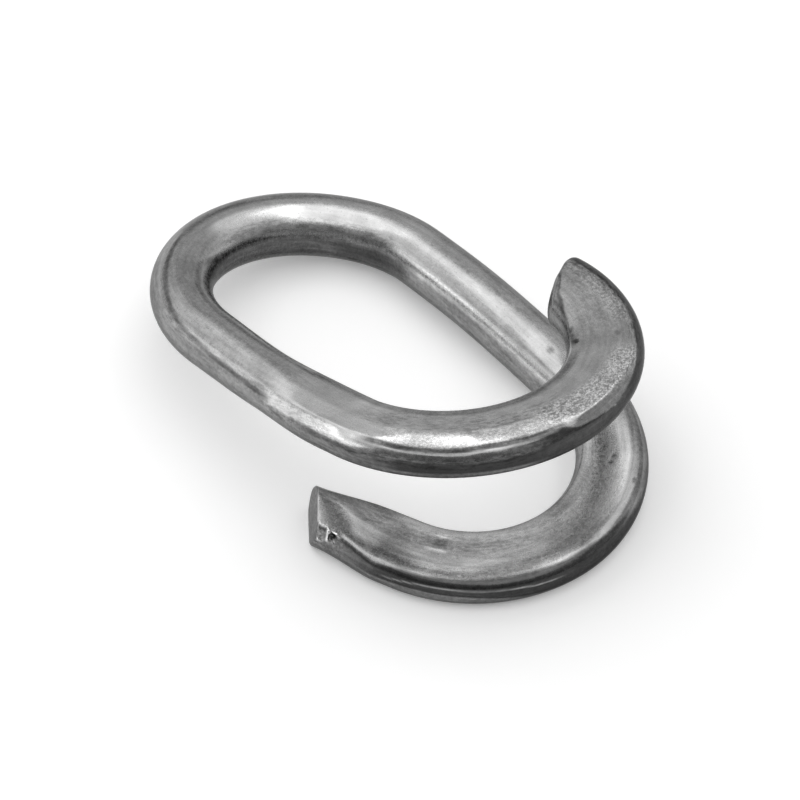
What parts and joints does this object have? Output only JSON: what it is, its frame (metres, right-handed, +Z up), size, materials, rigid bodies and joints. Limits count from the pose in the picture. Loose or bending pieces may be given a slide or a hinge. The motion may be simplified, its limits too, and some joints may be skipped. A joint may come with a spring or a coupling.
{
  "type": "chain connecting link",
  "caption": "Open lap link bent from one steel bar, closed bow at one end and two spread, flattened laps at the other, for joining chain ends.",
  "frame": {"origin": "middle of the footprint (bounding box) at floor height, the link lying on its lower lap and closed bow", "axes": "+X from the closed bow to the open laps, +Y from the leg of the upper lap to the leg of the lower lap, +Z up from the floor"},
  "size_m": [0.0562, 0.0357, 0.0202],
  "materials": {
    "zinc_steel": "bright zinc plate, slightly dull, with press marks on the laps"
  },
  "bodies": {
    "root": {"connecting_link": "zinc_steel"}
  },
  "joints": []
}
